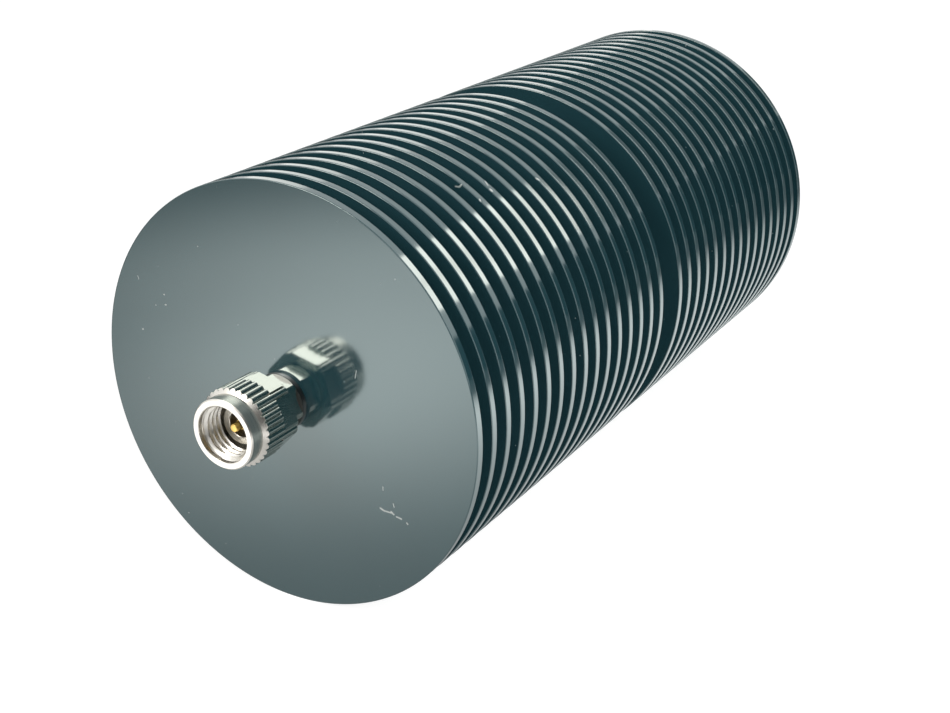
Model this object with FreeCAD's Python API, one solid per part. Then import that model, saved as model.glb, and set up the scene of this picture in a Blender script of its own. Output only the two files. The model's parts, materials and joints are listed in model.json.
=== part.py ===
import FreeCAD, Part
import math
import os

# Coaxial power attenuator: a finned round heat sink with a resistive core inside,
# a male 2.92 mm port with a coupling nut at the front and a female port at the back.
# Millimetres. The axis is Y, the male port faces -Y, and the origin is the middle
# of the male port's mating plane.

# Heat sink
fin_diameter = 50.0
fin_thickness = 1.05
fin_pitch = 3.05
fins_each_side = 16
hub_diameter = 18.0
front_wall = 5.0
core_diameter = 12.0
plug_diameter = 14.0
plug_length = 6.0
spanner_hole_diameter = 1.6
spanner_hole_depth = 2.0
spanner_hole_circle = 9.8

# Coupling nut
nut_reach = 3.0
nut_length = 7.3
collar_diameter = 8.0
collar_length = 1.75
collar_chamfer = 0.15
knurl_diameter = 9.04
knurl_depth = 0.26
knurl_teeth = 34
knurl_turn = 6.0
shoulder_length = 0.44
knurl_length = 2.71
nut_across_flats = 8.28
nut_rear_chamfer = 0.2
mouth_diameter = 6.44
mouth_depth = 0.55
nut_thread_bore = 5.64
nut_thread_length = 2.85
nut_thread_lead = 0.4
nut_undercut_diameter = 6.6
hex_turn = 13.5

# Retaining ring between the nut and its hub
hub_outer = 6.0
hub_front_wall = 0.6
ring_width = 0.4
ring_depth = 0.4
ring_bite = 0.35
ring_opening = 1.2

# Port bodies
air_line_diameter = 2.92
nose_diameter = 4.56
nose_length = 2.3
nose_chamfer = 0.08
hub_gap = 0.45
body_diameter = 6.6
body_across_flats = 5.94
input_hex_length = 1.98
body_ring_length = 0.62
body_ring_grooves = 2
body_groove_width = 0.1
body_groove_depth = 0.08
tail_diameter = 5.7

# Female port
output_hex_length = 2.6
output_undercut_diameter = 5.4
output_undercut_length = 0.8
barrel_diameter = 6.35
barrel_length = 5.4
barrel_chamfer = 0.3
output_recess_diameter = 4.6
output_recess_depth = 1.98

# Centre line
conductor_diameter = 1.27
pin_diameter = 0.927
pin_length = 1.15
pin_tip_chamfer = 0.12
bead_diameter = 4.4
bead_length = 1.2
bead_inset = 1.15
bead_bore = 0.8
socket_bore = 0.94
socket_depth = 2.6
socket_recess = 0.05
socket_slit = 0.15
socket_slit_depth = 2.2
contact_shank_diameter = 0.56
contact_shank_length = 2.0
contact_bore_clearance = 0.02
tab_width = 0.9
tab_thickness = 0.15
tab_overlap = 1.6

# Attenuator element and its two-part carrier
chip_length = 56.0
chip_width = 5.2
chip_thickness = 1.0
chip_side_clearance = 0.05
chip_end_clearance = 0.4
film_thickness = 0.03
film_line_width = 1.6
film_margin = 0.5
film_field_margin = 9.0
chamber_headroom = 1.6
conductor_setback = 1.2
clamp_screw_diameter = 1.6
clamp_head_diameter = 3.0
clamp_head_height = 1.6
clamp_socket_across_flats = 1.5
clamp_socket_depth = 0.8
clamp_screw_edge = 1.1
clamp_head_cover = 0.15
clamp_screw_inset = 6.0
clamp_thread_length = 3.0
clamp_thread_cover = 0.3

# Screws that press the core on its seat
core_screw_diameter = 3.0
core_screw_spread = 35.0
core_screw_socket_across_flats = 1.5
core_screw_socket_depth = 1.5

# Clearances
running_clearance = 0.05
ring_end_clearance = 0.05
assembly_clearance = 0.02

# Places along the axis
input_plane = 0.0
nut_front = input_plane - nut_reach
nut_rear = nut_front + nut_length
knurl_front = nut_front + collar_length
knurl_full = knurl_front + shoulder_length
nut_flats_front = knurl_full + knurl_length
hub_front = input_plane + nose_length
ring_groove_front = hub_front + hub_front_wall
ring_groove_rear = ring_groove_front + ring_width + 2 * ring_end_clearance
input_hex_front = nut_rear + hub_gap
input_hex_rear = input_hex_front + input_hex_length
sink_front = input_hex_rear + body_ring_length
sink_length = 2 * fins_each_side * fin_pitch + fin_thickness
sink_rear = sink_front + sink_length
sink_middle = (sink_front + sink_rear) / 2
core_front = sink_front + front_wall
core_rear = sink_rear - plug_length
output_hex_front = sink_rear + body_ring_length
output_hex_rear = output_hex_front + output_hex_length
barrel_rear = output_hex_rear + output_undercut_length
output_end = barrel_rear + barrel_length
output_plane = output_end - output_recess_depth
input_bead_rear = sink_front - bead_inset
input_bead_front = input_bead_rear - bead_length
output_bead_rear = sink_rear + bead_inset
output_bead_front = output_bead_rear + bead_length
chip_front = sink_middle - chip_length / 2
chip_rear = sink_middle + chip_length / 2

# Heights in the core, with the contact tabs on the axis
tab_bottom = -tab_thickness / 2
film_bottom = tab_bottom - film_thickness
chip_bottom = film_bottom - chip_thickness

origin = FreeCAD.Vector(0, 0, 0)
axis = FreeCAD.Vector(0, 1, 0)


def at(y):
    return FreeCAD.Vector(0, y, 0)


# A turned piece from its half section, given as (radius, place along the axis)
def turned(section):
    points = [FreeCAD.Vector(radius, y, 0) for radius, y in section]
    face = Part.Face(Part.makePolygon(points + points[:1]))
    return face.revolve(origin, axis, 360)


def rod(diameter, y_start, y_end):
    return Part.makeCylinder(diameter / 2, y_end - y_start, at(y_start), axis)


def tube(outer, inner, y_start, y_end):
    return turned([(inner / 2, y_start), (outer / 2, y_start), (outer / 2, y_end), (inner / 2, y_end)])


# A block centred on X, given by its width and its ends along Y and Z
def block(width, y_start, y_end, z_low, z_high):
    corner = FreeCAD.Vector(-width / 2, y_start, z_low)
    return Part.makeBox(width, y_end - y_start, z_high - z_low, corner)


# Six cutters that leave wrench flats on a round piece
def hex_cutters(across_flats, diameter, y_start, y_end):
    cutters = []
    for side in range(6):
        cutter = block(diameter, y_start, y_end, across_flats / 2, diameter)
        cutter.rotate(origin, axis, hex_turn + 60 * side)
        cutters.append(cutter)
    return Part.makeCompound(cutters)


# A hexagonal key socket that opens at the given point and runs along the direction
def key_socket(across_flats, depth, mouth, direction):
    corner = across_flats / math.sqrt(3)
    turns = [math.radians(60 * side) for side in range(6)]
    points = [FreeCAD.Vector(corner * math.cos(a), corner * math.sin(a), 0) for a in turns]
    socket = Part.Face(Part.makePolygon(points + points[:1])).extrude(FreeCAD.Vector(0, 0, depth))
    turn = FreeCAD.Rotation(FreeCAD.Vector(0, 0, 1), direction)
    socket.Placement = FreeCAD.Placement(mouth, turn)
    return socket


# Heat sink, turned from one bar
def heat_sink():
    section = [(tail_diameter / 2 + assembly_clearance, sink_front)]
    for place in range(2 * fins_each_side + 1):
        if place == fins_each_side:
            continue
        fin_front = sink_front + place * fin_pitch
        fin_rear = fin_front + fin_thickness
        if place > 0:
            section.append((hub_diameter / 2, fin_front))
        section.append((fin_diameter / 2, fin_front))
        section.append((fin_diameter / 2, fin_rear))
        if place < 2 * fins_each_side:
            section.append((hub_diameter / 2, fin_rear))
    section.append((plug_diameter / 2, sink_rear))
    section.append((plug_diameter / 2, core_rear))
    section.append((core_diameter / 2, core_rear))
    section.append((core_diameter / 2, core_front))
    section.append((tail_diameter / 2 + assembly_clearance, core_front))
    holes = [core_screw_blank(side) for side in (-1, 1)]
    return turned(section).cut(Part.makeCompound(holes))


def core_screw_direction(side):
    turn = math.radians(side * core_screw_spread)
    return FreeCAD.Vector(math.sin(turn), 0, math.cos(turn))


# The room of one core screw, from the core's surface out to the bottom of the middle groove
def core_screw_blank(side):
    direction = core_screw_direction(side)
    seat = direction * (core_diameter / 2) + at(sink_middle)
    length = (hub_diameter - core_diameter) / 2
    return Part.makeCylinder(core_screw_diameter / 2, length, seat, direction)


def core_screws():
    screws = []
    for side in (-1, 1):
        direction = core_screw_direction(side)
        mouth = direction * (hub_diameter / 2) + at(sink_middle)
        socket = key_socket(core_screw_socket_across_flats, core_screw_socket_depth, mouth, -direction)
        screws.append(core_screw_blank(side).cut(socket))
    return Part.makeCompound(screws)


def rear_end_plug():
    plug = tube(plug_diameter - 2 * assembly_clearance, tail_diameter + 2 * assembly_clearance,
                core_rear, sink_rear)
    for side in (-1, 1):
        mouth = FreeCAD.Vector(side * spanner_hole_circle / 2, sink_rear, 0)
        plug = plug.cut(Part.makeCylinder(spanner_hole_diameter / 2, spanner_hole_depth, mouth, -axis))
    return plug


# Outline of the rounded knurl teeth, each one an arc from valley to valley
def knurl_outline(y):
    def point(radius, tooth_place):
        turn = math.radians(knurl_turn + 360 / knurl_teeth * tooth_place)
        return FreeCAD.Vector(radius * math.sin(turn), y, radius * math.cos(turn))

    tip = knurl_diameter / 2
    valley = tip - knurl_depth
    arcs = []
    for tooth in range(knurl_teeth):
        arc = Part.Arc(point(valley, tooth), point(tip, tooth + 0.5), point(valley, tooth + 1))
        arcs.append(arc.toShape())
    return Part.Face(Part.Wire(arcs))


def coupling_nut():
    inner_bore = hub_outer / 2 + running_clearance
    ring_room = ring_outer() / 2 + running_clearance
    thread_front = nut_front + mouth_depth
    thread_rear = thread_front + nut_thread_length
    section = [
        (mouth_diameter / 2, nut_front),
        (collar_diameter / 2 - collar_chamfer, nut_front),
        (collar_diameter / 2, nut_front + collar_chamfer),
        (collar_diameter / 2, knurl_front),
        (knurl_diameter / 2, knurl_full),
        (knurl_diameter / 2, nut_rear - nut_rear_chamfer),
        (knurl_diameter / 2 - nut_rear_chamfer, nut_rear),
        (inner_bore, nut_rear),
        (inner_bore, ring_groove_rear),
        (ring_room, ring_groove_rear),
        (ring_room, ring_groove_front),
        (inner_bore, ring_groove_front),
        (inner_bore, hub_front),
        (nut_undercut_diameter / 2, hub_front),
        (nut_undercut_diameter / 2, thread_rear),
        (nut_thread_bore / 2, thread_rear),
        (nut_thread_bore / 2, thread_front + nut_thread_lead),
        (mouth_diameter / 2, thread_front),
    ]
    teeth = knurl_outline(knurl_front).extrude(at(nut_rear - knurl_front))
    stock = rod(2 * knurl_diameter, knurl_front, nut_rear)
    nut = turned(section).cut(stock.cut(teeth))
    return nut.cut(hex_cutters(nut_across_flats, knurl_diameter, nut_flats_front, nut_rear))


def ring_inner():
    return hub_outer - 2 * ring_bite


def ring_outer():
    return hub_outer + 2 * ring_depth


# Open spring ring that keeps the nut on the hub
def retaining_ring():
    ring = tube(ring_outer(), ring_inner(),
                ring_groove_front + ring_end_clearance, ring_groove_rear - ring_end_clearance)
    opening = block(ring_opening, ring_groove_front, ring_groove_rear, -ring_outer(), 0)
    return ring.cut(opening)


def outer_conductor():
    tail = bead_diameter / 2 - assembly_clearance
    return turned([
        (air_line_diameter / 2, input_plane),
        (nose_diameter / 2 - nose_chamfer, input_plane),
        (nose_diameter / 2, input_plane + nose_chamfer),
        (nose_diameter / 2, hub_front),
        (tail, hub_front),
        (tail, input_bead_front),
        (air_line_diameter / 2, input_bead_front),
    ])


# Fine turned grooves of a port body's round flange, as section points from front to back
def flange_points(y_start, y_end):
    rim = body_diameter / 2
    step = (y_end - y_start) / (body_ring_grooves + 1)
    points = [(rim, y_start)]
    for groove in range(1, body_ring_grooves + 1):
        middle = y_start + groove * step
        points.append((rim, middle - body_groove_width / 2))
        points.append((rim - body_groove_depth, middle))
        points.append((rim, middle + body_groove_width / 2))
    points.append((rim, y_end))
    return points


def input_body():
    groove_bottom = ring_inner() / 2 - assembly_clearance
    section = [
        (bead_diameter / 2, hub_front),
        (hub_outer / 2, hub_front),
        (hub_outer / 2, ring_groove_front),
        (groove_bottom, ring_groove_front),
        (groove_bottom, ring_groove_rear),
        (hub_outer / 2, ring_groove_rear),
        (hub_outer / 2, input_hex_front),
        (body_diameter / 2, input_hex_front),
    ]
    section += flange_points(input_hex_rear, sink_front)
    section += [
        (tail_diameter / 2, sink_front),
        (tail_diameter / 2, core_front),
        (air_line_diameter / 2, core_front),
        (air_line_diameter / 2, input_bead_rear),
        (bead_diameter / 2, input_bead_rear),
    ]
    return turned(section).cut(hex_cutters(body_across_flats, body_diameter, input_hex_front, input_hex_rear))


def output_body():
    barrel = barrel_diameter / 2
    section = [
        (bead_diameter / 2, core_rear),
        (tail_diameter / 2, core_rear),
        (tail_diameter / 2, sink_rear),
    ]
    section += flange_points(sink_rear, output_hex_front)
    section += [
        (body_diameter / 2, output_hex_rear),
        (output_undercut_diameter / 2, output_hex_rear),
        (output_undercut_diameter / 2, barrel_rear),
        (barrel, barrel_rear),
        (barrel, output_end - barrel_chamfer),
        (barrel - barrel_chamfer, output_end),
        (output_recess_diameter / 2, output_end),
        (output_recess_diameter / 2, output_plane),
        (air_line_diameter / 2, output_plane),
        (air_line_diameter / 2, output_bead_front),
        (bead_diameter / 2, output_bead_front),
    ]
    return turned(section).cut(hex_cutters(body_across_flats, body_diameter, output_hex_front, output_hex_rear))


# Sleeve that pushes the rear bead on its seat
def bead_bushing():
    return tube(bead_diameter - 2 * assembly_clearance, air_line_diameter, core_rear, output_bead_rear)


def bead(y_start, y_end):
    return tube(bead_diameter - 2 * assembly_clearance, bead_bore, y_start, y_end)


def contact_bore(y_start, y_end):
    return rod(contact_shank_diameter + 2 * contact_bore_clearance, y_start, y_end)


def center_pin():
    inner_end = chip_front - conductor_setback
    line = conductor_diameter / 2
    pin = turned([
        (0, input_plane - pin_length),
        (pin_diameter / 2 - pin_tip_chamfer, input_plane - pin_length),
        (pin_diameter / 2, input_plane - pin_length + pin_tip_chamfer),
        (pin_diameter / 2, input_plane),
        (line, input_plane),
        (line, input_bead_front),
        (bead_bore / 2, input_bead_front),
        (bead_bore / 2, input_bead_rear),
        (line, input_bead_rear),
        (line, inner_end),
        (0, inner_end),
    ])
    return pin.cut(contact_bore(inner_end - contact_shank_length, inner_end))


def center_socket():
    inner_end = chip_rear + conductor_setback
    mouth = output_plane - socket_recess
    line = conductor_diameter / 2
    socket = turned([
        (0, inner_end),
        (line, inner_end),
        (line, output_bead_rear),
        (bead_bore / 2, output_bead_rear),
        (bead_bore / 2, output_bead_front),
        (line, output_bead_front),
        (line, mouth),
        (socket_bore / 2, mouth),
        (socket_bore / 2, mouth - socket_depth),
        (0, mouth - socket_depth),
    ])
    for turn in (45, 135):
        slit = block(socket_slit, mouth - socket_slit_depth, mouth, -conductor_diameter, conductor_diameter)
        slit.rotate(origin, axis, turn)
        socket = socket.cut(slit)
    return socket.cut(contact_bore(inner_end, inner_end + contact_shank_length))


# Sliding contact from a conductor's end to the film, with its tab on the chip
def slide_contact(chip_end, inward):
    conductor_end = chip_end - inward * conductor_setback
    shank_start = conductor_end - inward * contact_shank_length
    tab_end = chip_end + inward * tab_overlap
    shank = rod(contact_shank_diameter, min(shank_start, conductor_end), max(shank_start, conductor_end))
    tab = block(tab_width, min(conductor_end, tab_end), max(conductor_end, tab_end), tab_bottom, -tab_bottom)
    return shank.fuse(tab).removeSplitter()


def attenuator_chip():
    return block(chip_width, chip_front, chip_rear, chip_bottom, film_bottom)


# Printed element: a narrow line from end to end and a wide resistive field between
def resistor_film():
    line = block(film_line_width, chip_front + film_margin, chip_rear - film_margin, film_bottom, tab_bottom)
    field = block(chip_width - 2 * film_margin, chip_front + film_field_margin, chip_rear - film_field_margin,
                  film_bottom, tab_bottom)
    return line.fuse(field).removeSplitter()


# Centres of the clamp screws and the height of their heads' seat
def clamp_screw_places():
    radius = core_diameter / 2 - assembly_clearance
    across = radius - clamp_screw_edge - clamp_head_diameter / 2
    outer_edge = across + clamp_head_diameter / 2
    head_top = math.sqrt(radius ** 2 - outer_edge ** 2) - clamp_head_cover
    ends = (core_front + clamp_screw_inset, core_rear - clamp_screw_inset)
    places = [FreeCAD.Vector(side * across, y, 0) for y in ends for side in (-1, 1)]
    return places, head_top - clamp_head_height


def clamp_screw_shape(place, seat, extra_depth, head_height):
    up = FreeCAD.Vector(0, 0, 1)
    low = -clamp_thread_length - extra_depth
    shank = Part.makeCylinder(clamp_screw_diameter / 2, seat - low, place + up * low, up)
    head = Part.makeCylinder(clamp_head_diameter / 2, head_height, place + up * seat, up)
    return shank.fuse(head)


def clamp_screws():
    places, seat = clamp_screw_places()
    top = seat + clamp_head_height
    screws = []
    for place in places:
        mouth = place + FreeCAD.Vector(0, 0, top)
        socket = key_socket(clamp_socket_across_flats, clamp_socket_depth, mouth, FreeCAD.Vector(0, 0, -1))
        screws.append(clamp_screw_shape(place, seat, 0, clamp_head_height).cut(socket))
    return Part.makeCompound(screws)


def clamp_screw_holes():
    places, seat = clamp_screw_places()
    return [clamp_screw_shape(place, seat, clamp_thread_cover, core_diameter) for place in places]


# One half of the carrier, kept between two heights and cleared for the line, the chip and the screws
def carrier_half(z_low, z_high, chamber_low, chamber_high):
    half = rod(core_diameter - 2 * assembly_clearance, core_front, core_rear)
    half = half.common(block(core_diameter, core_front, core_rear, z_low, z_high))
    chamber = block(chip_width + 2 * chip_side_clearance, chip_front - chip_end_clearance,
                    chip_rear + chip_end_clearance, chamber_low, chamber_high)
    line = rod(air_line_diameter, core_front, core_rear)
    return half.cut(Part.makeCompound([line, chamber] + clamp_screw_holes()))


nodes = {
    "heat_sink": heat_sink(),
    "rear_end_plug": rear_end_plug(),
    "core_set_screws": core_screws(),
    "carrier_lower_half": carrier_half(-core_diameter / 2, 0, chip_bottom, 0),
    "carrier_upper_half": carrier_half(0, core_diameter / 2, 0, chamber_headroom),
    "carrier_clamp_screws": clamp_screws(),
    "attenuator_chip": attenuator_chip(),
    "resistor_film": resistor_film(),
    "input_slide_contact": slide_contact(chip_front, 1),
    "output_slide_contact": slide_contact(chip_rear, -1),
    "input_coupling_nut": coupling_nut(),
    "input_retaining_ring": retaining_ring(),
    "input_outer_conductor": outer_conductor(),
    "input_connector_body": input_body(),
    "input_center_pin": center_pin(),
    "input_support_bead": bead(input_bead_front, input_bead_rear),
    "output_connector_body": output_body(),
    "output_bead_bushing": bead_bushing(),
    "output_center_socket": center_socket(),
    "output_support_bead": bead(output_bead_rear, output_bead_front),
}

os.makedirs("parts", exist_ok=True)
for name, shape in nodes.items():
    shape.exportStep("parts/" + name + ".step")
    box = shape.BoundBox
    print(name, len(shape.Solids), shape.isValid(), "volume", round(shape.Volume, 3),
          "y", round(box.YMin, 3), round(box.YMax, 3), "wide", round(box.XLength, 2), "high", round(box.ZLength, 2))
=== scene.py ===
import json
import math

import bmesh
import bpy
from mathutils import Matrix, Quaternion, Vector


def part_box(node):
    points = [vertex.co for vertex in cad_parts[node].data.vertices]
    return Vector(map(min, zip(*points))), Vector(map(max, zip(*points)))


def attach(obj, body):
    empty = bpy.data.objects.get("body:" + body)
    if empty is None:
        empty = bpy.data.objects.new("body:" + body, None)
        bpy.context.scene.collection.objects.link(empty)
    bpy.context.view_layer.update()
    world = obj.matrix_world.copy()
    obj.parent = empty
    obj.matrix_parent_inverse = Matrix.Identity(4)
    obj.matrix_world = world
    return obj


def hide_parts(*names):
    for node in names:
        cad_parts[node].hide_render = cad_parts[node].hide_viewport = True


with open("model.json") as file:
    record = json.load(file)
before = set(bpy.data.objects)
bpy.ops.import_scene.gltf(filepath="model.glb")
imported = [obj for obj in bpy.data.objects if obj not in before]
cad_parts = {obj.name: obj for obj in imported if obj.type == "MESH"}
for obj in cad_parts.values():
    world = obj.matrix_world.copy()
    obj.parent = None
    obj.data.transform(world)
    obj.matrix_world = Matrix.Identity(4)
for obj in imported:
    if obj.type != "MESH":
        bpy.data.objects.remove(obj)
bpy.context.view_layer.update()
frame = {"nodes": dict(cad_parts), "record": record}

mm = 0.001  # sizes of the pieces are in millimetres, the scene is in metres
near = 0.001  # places closer than this count as the same, in millimetres
meshCare = {"sharpAngle": 24.0, "mergeDistance": 0.0004, "holeSegments": 48}


# Lengths along the axis that the frame gives, in millimetres
def span(node):
    low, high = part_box(node)
    return low.y / mm, high.y / mm


sinkFront, sinkRear = span("heat_sink")
nutFront, nutRear = span("input_coupling_nut")
barrelEnd = span("output_connector_body")[1]
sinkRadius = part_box("heat_sink")[1].x / mm
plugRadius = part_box("rear_end_plug")[1].x / mm


# Small helpers for node trees
def newMaterial(name, color, metallic, roughness):
    material = bpy.data.materials.new(name)
    material.use_nodes = True
    shader = material.node_tree.nodes["Principled BSDF"]
    shader.inputs["Base Color"].default_value = (*color, 1)
    shader.inputs["Metallic"].default_value = metallic
    shader.inputs["Roughness"].default_value = roughness
    return material, shader


def feed(tree, socket, value):
    if isinstance(value, bpy.types.NodeSocket):
        tree.links.new(value, socket)
    else:
        socket.default_value = value


def calc(tree, operation, first, second=0.0, third=0.0):
    node = tree.nodes.new("ShaderNodeMath")
    node.operation = operation
    for socket, value in zip(node.inputs, (first, second, third)):
        feed(tree, socket, value)
    return node.outputs[0]


def vectorCalc(tree, operation, first, second):
    node = tree.nodes.new("ShaderNodeVectorMath")
    node.operation = operation
    feed(tree, node.inputs[0], first)
    feed(tree, node.inputs[1], second)
    return node.outputs["Value" if operation in ("DOT_PRODUCT", "DISTANCE") else "Vector"]


def between(tree, value, low, high, start, end, smooth=False):
    node = tree.nodes.new("ShaderNodeMapRange")
    node.interpolation_type = "SMOOTHSTEP" if smooth else "LINEAR"
    names = ("Value", "From Min", "From Max", "To Min", "To Max")
    for name, given in zip(names, (value, low, high, start, end)):
        feed(tree, node.inputs[name], given)
    return node.outputs["Result"]


def blendColors(tree, share, first, second):
    node = tree.nodes.new("ShaderNodeMix")
    node.data_type = "RGBA"
    feed(tree, node.inputs["Factor"], share)
    feed(tree, node.inputs[6], first)
    feed(tree, node.inputs[7], second)
    return node.outputs[2]


# Object coordinates in millimetres, with the place along the axis and the radius round it
def placeOnPiece(tree):
    coordinates = tree.nodes.new("ShaderNodeTexCoord")
    place = vectorCalc(tree, "MULTIPLY", coordinates.outputs["Object"], [1 / mm] * 3)
    parts = tree.nodes.new("ShaderNodeSeparateXYZ")
    tree.links.new(place, parts.inputs[0])
    x, y, z = parts.outputs
    squares = calc(tree, "ADD", calc(tree, "MULTIPLY", x, x), calc(tree, "MULTIPLY", z, z))
    return place, y, calc(tree, "SQRT", squares)


def noise(tree, place, scale, detail=2.0):
    node = tree.nodes.new("ShaderNodeTexNoise")
    node.inputs["Scale"].default_value = scale
    node.inputs["Detail"].default_value = detail
    tree.links.new(place, node.inputs["Vector"])
    return node.outputs["Fac"]


# Marks of the turning tool, which follow the radius and the place along the axis
def toolMarks(tree, radius, along, slant, scale, detail):
    node = tree.nodes.new("ShaderNodeTexNoise")
    node.noise_dimensions = "1D"
    node.inputs["Scale"].default_value = scale
    node.inputs["Detail"].default_value = detail
    line = calc(tree, "ADD", radius, calc(tree, "MULTIPLY", along, slant))
    tree.links.new(line, node.inputs["W"])
    return node.outputs["Fac"]


# Share of the surface that lies in small spots, whose edges are soft from a share of their size outward
def spots(tree, place, scale, size, solidShare):
    cells = tree.nodes.new("ShaderNodeTexVoronoi")
    cells.inputs["Scale"].default_value = scale
    tree.links.new(place, cells.inputs["Vector"])
    return between(tree, cells.outputs["Distance"], size * solidShare, size, 1.0, 0.0)


# Share of the surface that lies on one short stroke, soft in the same way
def stroke(tree, place, start, end, width, solidShare):
    length = (Vector(end) - Vector(start)).length
    axis = (Vector(end) - Vector(start)).normalized()
    away = vectorCalc(tree, "SUBTRACT", place, start)
    along = calc(tree, "MAXIMUM", vectorCalc(tree, "DOT_PRODUCT", away, axis), 0.0)
    along = calc(tree, "MINIMUM", along, length)
    distance = vectorCalc(tree, "DISTANCE", away, vectorCalc(tree, "MULTIPLY", along, axis))
    return between(tree, distance, width * solidShare, width, 1.0, 0.0)


def addBump(tree, shader, height, strength, depth):
    bump = tree.nodes.new("ShaderNodeBump")
    bump.inputs["Strength"].default_value = strength
    bump.inputs["Distance"].default_value = depth * mm
    tree.links.new(height, bump.inputs["Height"])
    tree.links.new(bump.outputs["Normal"], shader.inputs["Normal"])


# Finishes
anodisedLook = {
    "color": (0.012, 0.045, 0.056), "paleColor": (0.019, 0.06, 0.072), "roughness": (0.085, 0.12),
    "mirrorColor": (0.88, 1.0, 0.98, 1.0), "refraction": 2.33, "plainRoughness": 0.16,
    "markScale": 7.0, "markDetail": 3.0, "markSlant": 1.7, "markRange": (0.3, 0.7),
    "cloudScale": 0.09, "cloudDetail": 3.0, "bumpStrength": 0.05, "bumpDepth": 0.01,
    "dustColor": (0.62, 0.64, 0.62), "dustScale": 0.55, "dustSize": 0.045, "dustSolid": 0.6,
    "patchScale": 0.3, "patchRange": (0.5, 0.62),
    "wearStrength": 0.8, "wearRoughness": 0.3, "strokeSolid": 0.3,
    "strokes": [  # scuffs and nicks on the front disc and the rims: one end, other end, width
        ((12.7, 7.35, -10.0), (13.2, 7.35, -10.2), 0.16),
        ((13.2, 7.35, -10.2), (14.1, 7.35, -10.2), 0.13),
        ((14.1, 7.35, -10.1), (14.4, 7.35, -10.3), 0.17),
        ((14.8, 7.35, -10.5), (15.4, 7.35, -10.6), 0.14),
        ((16.1, 7.35, -10.9), (16.2, 7.35, -11.0), 0.13),
        ((14.4, 7.35, -9.0), (14.5, 7.35, -9.4), 0.08),
        ((13.1, 7.35, -7.3), (13.1, 7.35, -7.7), 0.07),
        ((-16.1, 7.35, 9.4), (-16.0, 7.35, 9.4), 0.1),
        ((-16.0, 7.35, 8.2), (-15.9, 7.35, 8.2), 0.12),
        ((-19.8, 7.35, 4.5), (-19.7, 7.35, 4.5), 0.12),
        ((-19.8, 7.35, 11.0), (-19.7, 7.35, 10.6), 0.06),
        ((10.1, 7.35, 5.7), (9.9, 7.35, 4.8), 0.06),
        ((11.4, 25.65, 21.5), (11.9, 25.65, 21.5), 0.11),
        ((11.9, 25.65, 21.5), (12.3, 25.65, 22.0), 0.11),
        ((13.0, 29.5, 21.4), (13.5, 29.2, 21.1), 0.13),
        ((14.0, 28.9, 20.7), (14.2, 28.9, 20.6), 0.22),
        ((14.4, 25.8, 20.4), (14.8, 25.5, 20.2), 0.13),
        ((15.0, 37.8, 20.0), (15.3, 38.0, 19.8), 0.16),
    ],
}


def anodisedMetal():
    look = anodisedLook
    name = "gloss teal black anodising"
    material, shader = newMaterial(name, look["color"], 0.0, look["plainRoughness"])
    shader.inputs["IOR"].default_value = look["refraction"]
    shader.inputs["Specular Tint"].default_value = look["mirrorColor"]
    tree = material.node_tree
    place, along, radius = placeOnPiece(tree)
    rings = toolMarks(tree, radius, along, look["markSlant"], look["markScale"], look["markDetail"])
    clouds = noise(tree, place, look["cloudScale"], look["cloudDetail"])
    color = blendColors(tree, clouds, (*look["color"], 1), (*look["paleColor"], 1))

    dust = spots(tree, place, look["dustScale"], look["dustSize"], look["dustSolid"])
    patches = between(tree, noise(tree, place, look["patchScale"]), *look["patchRange"], 0, 1)
    wear = calc(tree, "MULTIPLY", dust, patches)
    for start, end, width in look["strokes"]:
        wear = calc(tree, "MAXIMUM", wear, stroke(tree, place, start, end, width, look["strokeSolid"]))
    wear = calc(tree, "MULTIPLY", wear, look["wearStrength"])
    color = blendColors(tree, wear, color, (*look["dustColor"], 1))
    tree.links.new(color, shader.inputs["Base Color"])

    roughness = between(tree, rings, *look["markRange"], *look["roughness"])
    roughness = calc(tree, "ADD", roughness, calc(tree, "MULTIPLY", wear, look["wearRoughness"]))
    tree.links.new(roughness, shader.inputs["Roughness"])
    addBump(tree, shader, rings, look["bumpStrength"], look["bumpDepth"])
    return material


# Behind the knurl the outside is milled and smoother, and the flange at the front disc has painted shade:
# its colour is darkened to stand in for the shade held in its fine grooves
steelLook = {
    "color": (0.88, 0.855, 0.79), "darkColor": (0.74, 0.72, 0.665), "roughness": (0.34, 0.27),
    "plainRoughness": 0.24, "markScale": 9.0, "markDetail": 4.0, "markSlant": 1.4,
    "colorRange": (0.35, 0.65), "roughnessRange": (0.3, 0.7), "bumpStrength": 0.05, "bumpDepth": 0.01,
    "milledRoughness": 0.11, "milledFrom": -0.81, "milledTo": 6.72, "milledRadius": 3.6, "bodyFrom": 4.5,
    # painted shade colour of the flange band, and where that band ends along the axis
    "flangeShadeColor": (0.14, 0.15, 0.15), "flangeShadeEnd": 7.4,
}


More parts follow.
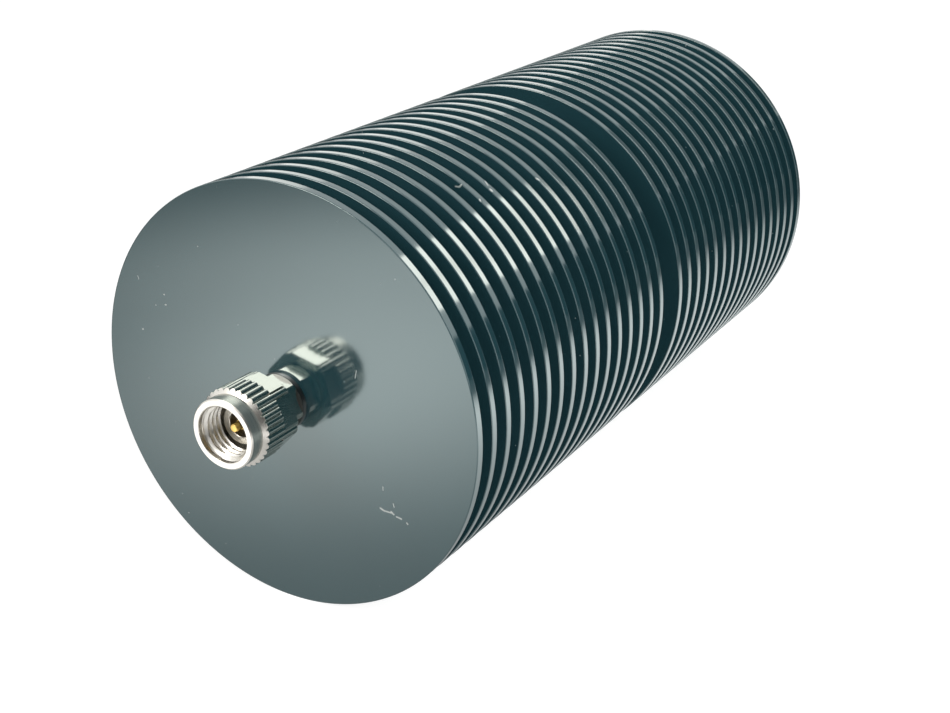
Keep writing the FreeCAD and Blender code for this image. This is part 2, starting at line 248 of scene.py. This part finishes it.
def turnedSteel(name):
    look = steelLook
    material, shader = newMaterial(name, look["color"], 1.0, look["plainRoughness"])
    tree = material.node_tree
    along, radius = placeOnPiece(tree)[1:]
    rings = toolMarks(tree, radius, along, look["markSlant"], look["markScale"], look["markDetail"])
    bright = between(tree, rings, *look["colorRange"], 0, 1)
    color = blendColors(tree, bright, (*look["darkColor"], 1), (*look["color"], 1))
    # painted shade: the flange band between the flats and the front disc is darkened in colour
    flange = calc(tree, "MULTIPLY", calc(tree, "GREATER_THAN", along, look["milledTo"]),
                  calc(tree, "LESS_THAN", along, look["flangeShadeEnd"]))
    color = blendColors(tree, flange, color, (*look["flangeShadeColor"], 1))
    tree.links.new(color, shader.inputs["Base Color"])

    turned = between(tree, rings, *look["roughnessRange"], *look["roughness"])
    milled = calc(tree, "MULTIPLY", calc(tree, "GREATER_THAN", along, look["milledFrom"]),
                  calc(tree, "LESS_THAN", along, look["milledTo"]))
    outside = calc(tree, "MAXIMUM", calc(tree, "GREATER_THAN", radius, look["milledRadius"]),
                   calc(tree, "GREATER_THAN", along, look["bodyFrom"]))
    milled = calc(tree, "MULTIPLY", milled, outside)
    roughness = between(tree, milled, 0.0, 1.0, turned, look["milledRoughness"])
    tree.links.new(roughness, shader.inputs["Roughness"])
    addBump(tree, shader, rings, look["bumpStrength"], look["bumpDepth"])
    return material


platedLook = {
    "grainScale": 14.0, "grainDetail": 3.0, "grainRange": (0.3, 0.7), "roughnessShare": (0.8, 1.25),
    "bumpStrength": 0.1, "bumpDepth": 0.004,
}


def platedMetal(name, color, roughness):
    look = platedLook
    material, shader = newMaterial(name, color, 1.0, roughness)
    tree = material.node_tree
    place = placeOnPiece(tree)[0]
    grain = noise(tree, place, look["grainScale"], look["grainDetail"])
    uneven = [roughness * share for share in look["roughnessShare"]]
    tree.links.new(between(tree, grain, *look["grainRange"], *uneven), shader.inputs["Roughness"])
    addBump(tree, shader, grain, look["bumpStrength"], look["bumpDepth"])
    return material


plainLook = {"grainDetail": 3.0, "darkShare": 0.85, "bumpStrength": 0.1, "bumpDepth": 0.01}


def plainMatter(name, color, roughness, grainScale):
    look = plainLook
    material, shader = newMaterial(name, color, 0.0, roughness)
    tree = material.node_tree
    place = placeOnPiece(tree)[0]
    grain = noise(tree, place, grainScale, look["grainDetail"])
    darker = tuple(channel * look["darkShare"] for channel in color)
    tree.links.new(blendColors(tree, grain, (*darker, 1), (*color, 1)), shader.inputs["Base Color"])
    addBump(tree, shader, grain, look["bumpStrength"], look["bumpDepth"])
    return material


finishes = {
    "anodised_aluminium": anodisedMetal(),
    "stainless_steel": turnedSteel("turned stainless steel"),
    "gold_plate": platedMetal("matte gold plating", (0.93, 0.66, 0.2), 0.34),
    "spring_bronze": platedMetal("spring bronze", (0.72, 0.45, 0.22), 0.3),
    "nickel_brass": platedMetal("pale nickel plating", (0.72, 0.69, 0.62), 0.3),
    "black_steel": platedMetal("black oxide steel", (0.05, 0.05, 0.055), 0.4),
    "ceramic": plainMatter("ground ceramic", (0.86, 0.85, 0.8), 0.5, 6.0),
    "resistor_film": platedMetal("resistor film", (0.22, 0.23, 0.25), 0.45),
    "bead_plastic": plainMatter("machined bead plastic", (0.5, 0.46, 0.38), 0.45, 5.0),
}
print("finishes made")


# Shapes turned about the port's axis: radius and place along the axis of each point, in millimetres
def onAxis(radius, along, turn=0.0):
    return Vector((radius * math.sin(turn), along, radius * math.cos(turn)))


def addLine(shape, points, turn=0.0, closed=False):
    verts = [shape.verts.new(onAxis(radius, along, turn)) for radius, along in points]
    edges = [shape.edges.new(pair) for pair in zip(verts, verts[1:])]
    if closed:
        edges.append(shape.edges.new((verts[-1], verts[0])))
    return verts + edges


def addTurned(shape, points, steps, turn=0.0, closed=True):
    line = addLine(shape, points, turn, closed)
    bmesh.ops.spin(shape, geom=line, cent=(0, 0, 0), axis=(0, 1, 0), dvec=(0, 0, 0),
                   angle=2 * math.pi, steps=steps, use_merge=True, use_duplicate=False)


# Turns a finished shape into an object of the scene
def addObject(name, shape):
    mesh = bpy.data.meshes.new(name)
    shape.to_mesh(mesh)
    shape.free()
    made = bpy.data.objects.new(name, mesh)
    bpy.context.scene.collection.objects.link(made)
    return made


def placePiece(name, shape, finish, body, node, sharpAngle=meshCare["sharpAngle"]):
    bmesh.ops.remove_doubles(shape, verts=shape.verts, dist=meshCare["mergeDistance"])
    bmesh.ops.recalc_face_normals(shape, faces=shape.faces)
    bmesh.ops.scale(shape, vec=(mm, mm, mm), verts=shape.verts)
    piece = addObject(name, shape)
    piece.data.shade_smooth()
    piece.data.set_sharp_from_angle(angle=math.radians(sharpAngle))
    piece.data.materials.append(finishes[finish])
    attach(piece, body)
    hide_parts(node)
    return piece


# Cuts round holes: start, direction, radius and depth of each, in millimetres
def cutHoles(piece, holes):
    shape = bmesh.new()
    for start, direction, radius, depth in holes:
        turn = Vector((0, 0, 1)).rotation_difference(direction).to_matrix().to_4x4()
        made = bmesh.ops.create_cone(shape, cap_ends=True, segments=meshCare["holeSegments"],
                                     radius1=radius * mm, radius2=radius * mm, depth=depth * mm)
        bmesh.ops.transform(shape, matrix=turn, verts=made["verts"])
        bmesh.ops.translate(shape, vec=(start + direction * depth / 2) * mm, verts=made["verts"])
    cutter = addObject("hole cutters", shape)
    boolean = piece.modifiers.new("holes", "BOOLEAN")
    boolean.operation = "DIFFERENCE"
    boolean.solver = "EXACT"
    boolean.object = cutter
    bpy.context.view_layer.update()
    cut = bpy.data.meshes.new_from_object(piece.evaluated_get(bpy.context.evaluated_depsgraph_get()))
    piece.modifiers.clear()
    piece.data = cut
    bpy.data.objects.remove(cutter)


# Heat sink
sinkSize = {
    "discThickness": 1.05, "placesPerSide": 16, "hubRadius": 9.0, "steps": 208, "sharpAngle": 35.0,
    "frontEdge": 0.1, "rearEdge": 0.22, "edgeSteps": 3, "support": 0.03,
    "frontWall": 5.0, "coreRadius": 6.0, "plugBoreRadius": 7.0, "plugLength": 6.0, "tailBoreRadius": 2.87,
    "screwRadius": 1.5, "screwSpread": 35.0, "screwStart": 0.9,
}


# Section of one disc with rounded edges, without the hub in front of the first and behind the last
def discPoints(front, isFirst, isLast):
    size = sinkSize
    early = size["frontEdge"]
    late = early if isFirst else size["rearEdge"]
    support = size["support"]  # rings here keep the smooth shading of the edges off the face and the rim
    rear = front + size["discThickness"]
    turns = [math.pi / 2 * step / size["edgeSteps"] for step in range(size["edgeSteps"] + 1)]
    points = [] if isFirst else [(size["hubRadius"], front)]
    points.append((sinkRadius - early - support, front))
    for turn in turns:
        points.append((sinkRadius - early + early * math.sin(turn),
                       front + early - early * math.cos(turn)))
    points += [(sinkRadius, front + early + support), (sinkRadius, rear - late - support)]
    for turn in turns:
        points.append((sinkRadius - late + late * math.cos(turn),
                       rear - late + late * math.sin(turn)))
    points.append((sinkRadius - late - support, rear))
    return points if isLast else points + [(size["hubRadius"], rear)]


def makeHeatSink():
    size = sinkSize
    places = 2 * size["placesPerSide"]
    pitch = (sinkRear - sinkFront - size["discThickness"]) / places
    section = [(size["tailBoreRadius"], sinkFront)]
    for place in range(places + 1):
        if place != size["placesPerSide"]:  # the middle place has no disc
            section += discPoints(sinkFront + place * pitch, place == 0, place == places)
    section += [
        (size["plugBoreRadius"], sinkRear),
        (size["plugBoreRadius"], sinkRear - size["plugLength"]),
        (size["coreRadius"], sinkRear - size["plugLength"]),
        (size["coreRadius"], sinkFront + size["frontWall"]),
        (size["tailBoreRadius"], sinkFront + size["frontWall"]),
    ]
    shape = bmesh.new()
    addTurned(shape, section, size["steps"])
    sink = placePiece("finned_heat_sink", shape, "anodised_aluminium", "attenuator", "heat_sink",
                      sharpAngle=size["sharpAngle"])
    middle = Vector((0, (sinkFront + sinkRear) / 2, 0))
    holes = []
    for side in (-1, 1):
        turn = math.radians(side * size["screwSpread"])
        outward = Vector((math.sin(turn), 0, math.cos(turn)))
        holes.append((middle + outward * size["coreRadius"] * size["screwStart"], outward,
                      size["screwRadius"], size["hubRadius"]))
    cutHoles(sink, holes)


makeHeatSink()
print("heat sink made")

# Plug at the rear end
plugSize = {
    "bore": 2.87, "edgeBreak": 0.15, "steps": 128, "holeRadius": 0.8, "holeDepth": 2.0, "holeCircle": 4.9,
}


def makeRearPlug():
    size = plugSize
    edge = size["edgeBreak"]
    front = sinkRear - sinkSize["plugLength"]
    shape = bmesh.new()
    addTurned(shape, [(size["bore"], front), (plugRadius, front), (plugRadius, sinkRear - edge),
                      (plugRadius - edge, sinkRear), (size["bore"], sinkRear)], size["steps"])
    plug = placePiece("rear_bore_plug", shape, "anodised_aluminium", "attenuator", "rear_end_plug")
    holes = []
    for side in (-1, 1):  # twice as deep, so that the cutters stand out of the face
        bottom = Vector((side * size["holeCircle"], sinkRear - size["holeDepth"], 0))
        holes.append((bottom, Vector((0, 1, 0)), size["holeRadius"], size["holeDepth"] * 2))
    cutHoles(plug, holes)


makeRearPlug()
print("rear plug made")

# Thread of the ports, one quarter inch with 36 turns to the inch
threadSize = {"pitch": 25.4 / 36, "crestShare": 0.2, "rootShare": 0.16, "ringSpacing": 0.055}


# Radius of a right-hand thread's flank, crest or root at a turn about the axis
def threadRadius(turn, along, start, crest, root):
    size = threadSize
    place = ((along - start) / size["pitch"] - turn / (2 * math.pi)) % 1
    flank = (1 - size["crestShare"] - size["rootShare"]) / 2
    away = min(place, 1 - place) - size["crestShare"] / 2
    return crest + (root - crest) * min(max(away / flank, 0), 1)


# Section points of the rings that a thread is cut in, from one place to another
def threadRings(radius, first, last):
    rings = round(abs(last - first) / threadSize["ringSpacing"])
    return [(radius, first + (last - first) * ring / rings) for ring in range(rings + 1)]


def moveOut(vert, radius):
    factor = radius / math.hypot(vert.co.x, vert.co.z)
    vert.co.x *= factor
    vert.co.z *= factor


# Coupling nut
nutSize = {
    "mouthRadius": 3.22, "mouthDepth": 0.55,
    "collarRadius": 4.0, "collarLength": 1.75, "collarBreak": 0.15,
    "tipRadius": 4.52, "toothDepth": 0.26, "teeth": 34, "toothTurn": 6.0, "columnsPerTooth": 16,
    "coneLength": 0.44, "knurlLength": 2.71, "flatsApart": 8.28, "flatsTurn": 13.5, "rearChamfer": 0.1,
    "threadLength": 2.85, "threadCrest": 2.82, "threadRoot": 3.175, "undercutRadius": 3.3,
    "mouthBreak": 0.06, "coneRings": 14, "wallRings": 0.004,  # rings this far apart make a wall
    "hubFront": 2.3, "boreRadius": 3.05, "ringGroove": (2.9, 3.4), "ringGrooveRadius": 3.45,
}


# Radius of the rounded teeth at a turn about the axis, in radians
def toothRadius(turn):
    size = nutSize
    step = 2 * math.pi / size["teeth"]
    place = ((turn - math.radians(size["toothTurn"])) / step) % 1 - 0.5
    halfWidth = size["tipRadius"] * step / 2
    roundness = (halfWidth ** 2 + size["toothDepth"] ** 2) / (2 * size["toothDepth"])
    across = min(abs(place) * 2 * halfWidth, halfWidth)
    return size["tipRadius"] - roundness + math.sqrt(roundness ** 2 - across ** 2)


# Radius of wrench flats at a turn about the axis
def flatRadius(turn, acrossFlats, flatsTurn):
    nearest = (turn - math.radians(flatsTurn) + math.pi / 6) % (math.pi / 3) - math.pi / 6
    return acrossFlats / 2 / math.cos(nearest)


def makeCouplingNut():
    size = nutSize
    knurlFront = nutFront + size["collarLength"]
    knurlFull = knurlFront + size["coneLength"]
    flatsFront = knurlFull + size["knurlLength"]
    threadFront = nutFront + size["mouthDepth"]
    threadRear = threadFront + size["threadLength"]
    tip = size["tipRadius"]
    step = size["wallRings"]
    edge = size["mouthBreak"]
    section = threadRings(size["threadCrest"], threadRear, threadFront)
    section += [
        (size["mouthRadius"], threadFront), (size["mouthRadius"], nutFront + edge),
        (size["mouthRadius"] + edge, nutFront), (size["collarRadius"] - size["collarBreak"], nutFront),
        (size["collarRadius"], nutFront + size["collarBreak"]),
    ]
    for ring in range(size["coneRings"] + 1):
        share = ring / size["coneRings"]
        section.append((size["collarRadius"] + (tip - size["collarRadius"]) * share,
                        knurlFront + size["coneLength"] * share))
    section += [
        (tip, flatsFront - step), (tip, flatsFront),
        (tip, nutRear - size["rearChamfer"]), (tip - size["rearChamfer"], nutRear),
        (size["boreRadius"], nutRear), (size["boreRadius"], size["ringGroove"][1]),
        (size["ringGrooveRadius"], size["ringGroove"][1]),
        (size["ringGrooveRadius"], size["ringGroove"][0]),
        (size["boreRadius"], size["ringGroove"][0]), (size["boreRadius"], size["hubFront"]),
        (size["undercutRadius"], size["hubFront"]), (size["undercutRadius"], threadRear),
    ]
    shape = bmesh.new()
    addTurned(shape, section, size["teeth"] * size["columnsPerTooth"], math.radians(size["toothTurn"]))
    for vert in shape.verts:
        radius = math.hypot(vert.co.x, vert.co.z)
        turn = math.atan2(vert.co.x, vert.co.z)
        if radius < size["threadCrest"] + near:
            leadIn = size["mouthRadius"] - (vert.co.y - threadFront)
            cut = threadRadius(turn, vert.co.y, threadFront, radius, size["threadRoot"])
            moveOut(vert, max(cut, leadIn))
        if radius > size["collarRadius"] + near:
            outline = toothRadius(turn)
            flat = flatRadius(turn, size["flatsApart"], size["flatsTurn"])
            if vert.co.y > flatsFront - step / 2 and flat < tip:  # no grooves show within the flats
                outline = flat
            moveOut(vert, min(radius, outline))
    placePiece("knurled_coupling_nut", shape, "stainless_steel", "coupling_nut", "input_coupling_nut")


makeCouplingNut()
print("coupling nut made")

# Bodies of the two ports
bodySize = {
    "beadRadius": 2.2, "beadInset": 1.15, "beadLength": 1.2, "lineRadius": 1.46, "tailRadius": 2.85,
    "hubRadius": 3.0, "hubFront": 2.3, "ringGroove": (2.9, 3.4), "ringGrooveRadius": 2.63,
    "rimRadius": 3.3, "edgeBreak": 0.06, "flatsApart": 5.94, "flatsTurn": 13.5,
    "inputFlats": 1.98, "outputFlats": 2.6,
    "flange": 0.62, "grooves": 2, "grooveWidth": 0.1, "grooveDepth": 0.08, "wallRings": 0.004,
    "undercutRadius": 2.7, "undercut": 0.8,
    "barrelRadius": 3.175, "barrelRoot": 2.8, "barrelChamfer": 0.3,
    "recessRadius": 2.3, "recess": 1.98, "recessBreak": 0.08, "steps": 360,
}


def flangePoints(front, rear):
    size = bodySize
    edge = size["edgeBreak"]
    rim = size["rimRadius"]
    points = [(rim, front + size["wallRings"]), (rim, front + edge)]
    spacing = (rear - front) / (size["grooves"] + 1)
    for groove in range(1, size["grooves"] + 1):
        middle = front + groove * spacing
        points += [(rim, middle - size["grooveWidth"] / 2), (rim - size["grooveDepth"], middle),
                   (rim, middle + size["grooveWidth"] / 2)]
    return points + [(rim, rear)]


def millFlats(shape, front, rear):
    size = bodySize
    for vert in shape.verts:
        radius = math.hypot(vert.co.x, vert.co.z)
        if front - near < vert.co.y < rear + near and radius > size["hubRadius"] + 10 * near:
            turn = math.atan2(vert.co.x, vert.co.z)
            moveOut(vert, min(radius, flatRadius(turn, size["flatsApart"], size["flatsTurn"])))


def makeInputBody():
    size = bodySize
    edge = size["edgeBreak"]
    flatsRear = sinkFront - size["flange"]
    flatsFront = flatsRear - size["inputFlats"]
    beadRear = sinkFront - size["beadInset"]
    section = [
        (size["beadRadius"], size["hubFront"]), (size["hubRadius"] - edge, size["hubFront"]),
        (size["hubRadius"], size["hubFront"] + edge),
        (size["hubRadius"], size["ringGroove"][0]), (size["ringGrooveRadius"], size["ringGroove"][0]),
        (size["ringGrooveRadius"], size["ringGroove"][1]), (size["hubRadius"], size["ringGroove"][1]),
        (size["hubRadius"], flatsFront), (size["rimRadius"] - edge, flatsFront),
        (size["rimRadius"], flatsFront + edge), (size["rimRadius"], flatsRear),
    ]
    section += flangePoints(flatsRear, sinkFront)
    section += [
        (size["tailRadius"], sinkFront), (size["tailRadius"], sinkFront + sinkSize["frontWall"]),
        (size["lineRadius"], sinkFront + sinkSize["frontWall"]), (size["lineRadius"], beadRear),
        (size["beadRadius"], beadRear),
    ]
    shape = bmesh.new()
    addTurned(shape, section, size["steps"], math.radians(size["flatsTurn"]))
    millFlats(shape, flatsFront, flatsRear)
    placePiece("input_port_body", shape, "stainless_steel", "attenuator", "input_connector_body")


def makeOutputBody():
    size = bodySize
    flatsFront = sinkRear + size["flange"]
    flatsRear = flatsFront + size["outputFlats"]
    barrelFront = flatsRear + size["undercut"]
    plane = barrelEnd - size["recess"]
    beadEnd = sinkRear + size["beadInset"] + size["beadLength"]
    tailFront = sinkRear - sinkSize["plugLength"]
    section = threadRings(size["barrelRadius"], barrelEnd, barrelFront)
    section += [
        (size["undercutRadius"], barrelFront), (size["undercutRadius"], flatsRear),
        (size["rimRadius"] - size["edgeBreak"], flatsRear),
        (size["rimRadius"], flatsRear - size["edgeBreak"]), (size["rimRadius"], flatsFront),
    ]
    for radius, along in flangePoints(sinkRear, flatsFront):  # the same flange, turned end for end
        section.append((radius, sinkRear + flatsFront - along))
    section += [
        (size["tailRadius"], sinkRear), (size["tailRadius"], tailFront), (size["beadRadius"], tailFront),
        (size["beadRadius"], beadEnd), (size["lineRadius"], beadEnd), (size["lineRadius"], plane),
        (size["recessRadius"], plane), (size["recessRadius"], barrelEnd - size["recessBreak"]),
        (size["recessRadius"] + size["recessBreak"], barrelEnd),
    ]
    shape = bmesh.new()
    addTurned(shape, section, size["steps"], math.radians(size["flatsTurn"]))
    millFlats(shape, flatsFront, flatsRear)
    for vert in shape.verts:
        radius = math.hypot(vert.co.x, vert.co.z)
        if vert.co.y > barrelFront - near and radius > size["barrelRadius"] - near:
            turn = math.atan2(vert.co.x, vert.co.z)
            cut = threadRadius(turn, vert.co.y, barrelEnd, size["barrelRadius"], size["barrelRoot"])
            chamfer = size["barrelRadius"] - size["barrelChamfer"] + (barrelEnd - vert.co.y)
            moveOut(vert, min(cut, chamfer))
    placePiece("output_port_body", shape, "stainless_steel", "attenuator", "output_connector_body")


makeInputBody()
makeOutputBody()
print("port bodies made")

# Outer conductor and pin in the nut's mouth
noseSize = {
    "bore": 1.46, "boreBreak": 0.04, "radius": 2.28, "edgeBreak": 0.08, "tailRadius": 2.18, "steps": 144,
}
pinSize = {
    "lineRadius": 0.635, "radius": 0.4635, "length": 1.15, "tipBreak": 0.12, "tipSteps": 3,
    "shoulderBreak": 0.12, "beadRadius": 0.4, "steps": 72,
}


def makeOuterConductor():
    size = noseSize
    beadFront = sinkFront - bodySize["beadInset"] - bodySize["beadLength"]
    shape = bmesh.new()
    addTurned(shape, [
        (size["bore"], size["boreBreak"]), (size["bore"] + size["boreBreak"], 0),
        (size["radius"] - size["edgeBreak"], 0),
        (size["radius"], size["edgeBreak"]), (size["radius"], bodySize["hubFront"]),
        (size["tailRadius"], bodySize["hubFront"]), (size["tailRadius"], beadFront),
        (size["bore"], beadFront),
    ], size["steps"])
    placePiece("input_outer_sleeve", shape, "stainless_steel", "attenuator", "input_outer_conductor")


def makeCenterPin():
    size = pinSize
    innerEnd = span("input_center_pin")[1]
    beadRear = sinkFront - bodySize["beadInset"]
    beadFront = beadRear - bodySize["beadLength"]
    line, edge, tip = size["lineRadius"], size["shoulderBreak"], size["tipBreak"]
    section = [(0, -size["length"])]
    for step in range(size["tipSteps"] + 1):
        turn = math.pi / 2 * step / size["tipSteps"]
        section.append((size["radius"] - tip + tip * math.sin(turn),
                        -size["length"] + tip - tip * math.cos(turn)))
    section += [
        (size["radius"], 0), (line - edge, 0), (line, edge), (line, beadFront),
        (size["beadRadius"], beadFront), (size["beadRadius"], beadRear), (line, beadRear),
        (line, innerEnd), (0, innerEnd),
    ]
    shape = bmesh.new()
    addTurned(shape, section, size["steps"], closed=False)
    placePiece("input_pin", shape, "gold_plate", "attenuator", "input_center_pin")


makeOuterConductor()
makeCenterPin()
print("mouth of the input port made")

# The CAD nodes that stay take their slot's finish
for row in frame["record"]["materials"]:
    for node in row.get("nodes", []):
        if node in frame["nodes"]:
            frame["nodes"][node].data.materials.clear()
            frame["nodes"][node].data.materials.append(finishes[row["slot"]])
print("frame nodes finished")

# Floor, cards, lamps and world, in metres
floorLook = {
    "size": 6.0, "segments": 96, "color": (0.3, 0.3, 0.3), "cameraGlow": 0.88,
    "paintedLightPools": [  # painted pools of light: places where the floor glows for glossy rays only, so the metal reflects bright patches: centre, reach and strength
        {"at": (-0.021, -0.036), "reach": 0.065, "glow": 1.0},
        {"at": (-0.048, -0.089), "reach": 0.095, "glow": 1.35},
        {"at": (0.07, -0.05), "reach": 0.055, "glow": 1.6},
        {"at": (0.08, 0.1), "reach": 0.14, "glow": 2.0},
    ],
}
worldLook = {"diffuseLevel": 0.37}
cards = [  # the port and the rims reflect them, and the camera doesn't see them
    {"name": "card in front", "toward": (0.62, -0.73, 0.25), "away": 0.42,
     "size": (0.36, 0.42), "grey": 0.02},
    {"name": "card behind", "toward": (0.54, 0.84, 0.08), "away": 0.6,
     "size": (0.36, 0.16), "grey": 0.02},
    {"name": "upper card behind", "toward": (0.27, 0.9, 0.38), "away": 0.7,
     "size": (0.26, 0.22), "grey": 0.6},
    {"name": "card above", "toward": (-0.06, -0.12, 1.0), "away": 0.5,
     "size": (0.5, 0.5), "grey": 0.1},
]
cardRoughness = 0.9
lamps = [
    {"name": "key softbox", "toward": (-0.338, -0.713, 0.614), "away": 0.6,
     "size": (0.27, 0.27), "power": 1.35, "color": (1.0, 0.95, 0.9)},
    {"name": "right rear softbox", "toward": (0.422, 0.745, 0.516), "away": 0.199,
     "size": (0.056, 0.078), "power": 0.051, "roll": -39.0, "color": (1.0, 0.93, 0.86)},
    {"name": "left rear softbox", "toward": (-0.58, 0.74, 0.3), "away": 0.8,
     "size": (0.46, 0.3), "power": 0.5, "color": (1.0, 0.95, 0.9)},
    {"name": "right fill", "toward": (0.8, -0.45, 0.4), "away": 0.4,
     "size": (0.26, 0.26), "power": 1.4, "mirrored": False},
]
aimDepth = 12.0  # the lamps and cards face a place this far behind the front disc, in millimetres
stageCenter = Vector((0, (sinkFront + aimDepth) * mm, 0))


# Strength of one painted pool of light on the floor, which glows though no lamp lights it, at the place
# that is shaded
def paintedPoolGlow(tree, pool):
    coordinates = tree.nodes.new("ShaderNodeTexCoord")
    center = (*pool["at"], -sinkRadius * mm)
    away = vectorCalc(tree, "DISTANCE", coordinates.outputs["Object"], center)
    return between(tree, away, 0.0, pool["reach"], pool["glow"], 0.0, smooth=True)


def makeFloor():
    shape = bmesh.new()
    bmesh.ops.create_circle(shape, cap_ends=True, segments=floorLook["segments"],
                            radius=floorLook["size"])
    bmesh.ops.translate(shape, vec=(0, 0, -sinkRadius * mm), verts=shape.verts)
    floor = addObject("floor", shape)
    material = bpy.data.materials.new("pale floor")
    material.use_nodes = True
    tree = material.node_tree
    tree.nodes.clear()
    output = tree.nodes.new("ShaderNodeOutputMaterial")
    surface = tree.nodes.new("ShaderNodeBsdfDiffuse")
    surface.inputs["Color"].default_value = (*floorLook["color"], 1)
    glow = tree.nodes.new("ShaderNodeEmission")
    rays = tree.nodes.new("ShaderNodeLightPath")
    mirrored = 0.0
    # painted light: the pools glow for glossy rays only, so the metal shows bright floor patches that no
    # lamp lights
    for pool in floorLook["paintedLightPools"]:
        mirrored = calc(tree, "ADD", mirrored, paintedPoolGlow(tree, pool))
    seen = calc(tree, "MULTIPLY", rays.outputs["Is Camera Ray"], floorLook["cameraGlow"])
    mirrored = calc(tree, "MULTIPLY", rays.outputs["Is Glossy Ray"], mirrored)
    tree.links.new(calc(tree, "ADD", seen, mirrored), glow.inputs["Strength"])
    both = tree.nodes.new("ShaderNodeAddShader")
    tree.links.new(surface.outputs[0], both.inputs[0])
    tree.links.new(glow.outputs[0], both.inputs[1])
    tree.links.new(both.outputs[0], output.inputs["Surface"])
    floor.data.materials.append(material)


# Puts a card or lamp at its place with its front toward the port, and may roll it about its own axis
def aimAtPort(item, row):
    toward = Vector(row["toward"]).normalized()
    item.location = stageCenter + toward * row["away"]
    item.rotation_mode = "QUATERNION"
    roll = Quaternion((0, 0, 1), math.radians(row.get("roll", 0.0)))
    item.rotation_quaternion = toward.to_track_quat("Z", "Y") @ roll


def makeCard(row):
    shape = bmesh.new()
    bmesh.ops.create_grid(shape, x_segments=1, y_segments=1, size=0.5)  # one metre across
    bmesh.ops.scale(shape, vec=(*row["size"], 1), verts=shape.verts)
    card = addObject(row["name"], shape)
    card.data.materials.append(newMaterial(row["name"], [row["grey"]] * 3, 0.0, cardRoughness)[0])
    aimAtPort(card, row)
    card.visible_camera = False


def makeLamp(row):
    light = bpy.data.lights.new(row["name"], "AREA")
    light.shape = "RECTANGLE"
    light.size, light.size_y = row["size"]
    light.energy = row["power"]
    light.color = row.get("color", (1, 1, 1))
    lamp = bpy.data.objects.new(row["name"], light)
    aimAtPort(lamp, row)
    lamp.visible_camera = False
    lamp.visible_glossy = row.get("mirrored", True)
    bpy.context.scene.collection.objects.link(lamp)


def makeWorld():
    world = bpy.data.worlds.new("white studio")
    world.use_nodes = True
    tree = world.node_tree
    background = tree.nodes["Background"]
    background.inputs["Color"].default_value = (1, 1, 1, 1)
    rays = tree.nodes.new("ShaderNodeLightPath")
    seen = calc(tree, "ADD", rays.outputs["Is Camera Ray"], rays.outputs["Is Glossy Ray"])
    seen = calc(tree, "ADD", seen, rays.outputs["Is Transmission Ray"])
    strength = between(tree, seen, 0.0, 1.0, worldLook["diffuseLevel"], 1.0)
    tree.links.new(strength, background.inputs["Strength"])
    bpy.context.scene.world = world


makeFloor()
for row in cards:
    makeCard(row)
for row in lamps:
    makeLamp(row)
makeWorld()
bpy.context.scene.view_settings.view_transform = "Standard"
print("floor, lamps and world made")

# Camera of the photograph, found from the outlines of the front disc, the rims and the rear end
cameraPlace = {
    "azimuth": 30.419, "elevation": 22.558, "at": (95.1, -112.65, 68.2), "focal": 57.1, "sensor": 36.0,
    "clipStart": 0.01,
}
camera = bpy.data.objects.new("camera", bpy.data.cameras.new("camera"))
camera.data.sensor_width = cameraPlace["sensor"]
camera.data.lens = cameraPlace["focal"]
camera.data.clip_start = cameraPlace["clipStart"]
camera.location = Vector(cameraPlace["at"]) * mm
tilt = math.radians(90 - cameraPlace["elevation"])
camera.rotation_euler = (tilt, 0, math.radians(cameraPlace["azimuth"]))
bpy.context.scene.collection.objects.link(camera)
bpy.context.scene.camera = camera
print("camera made")
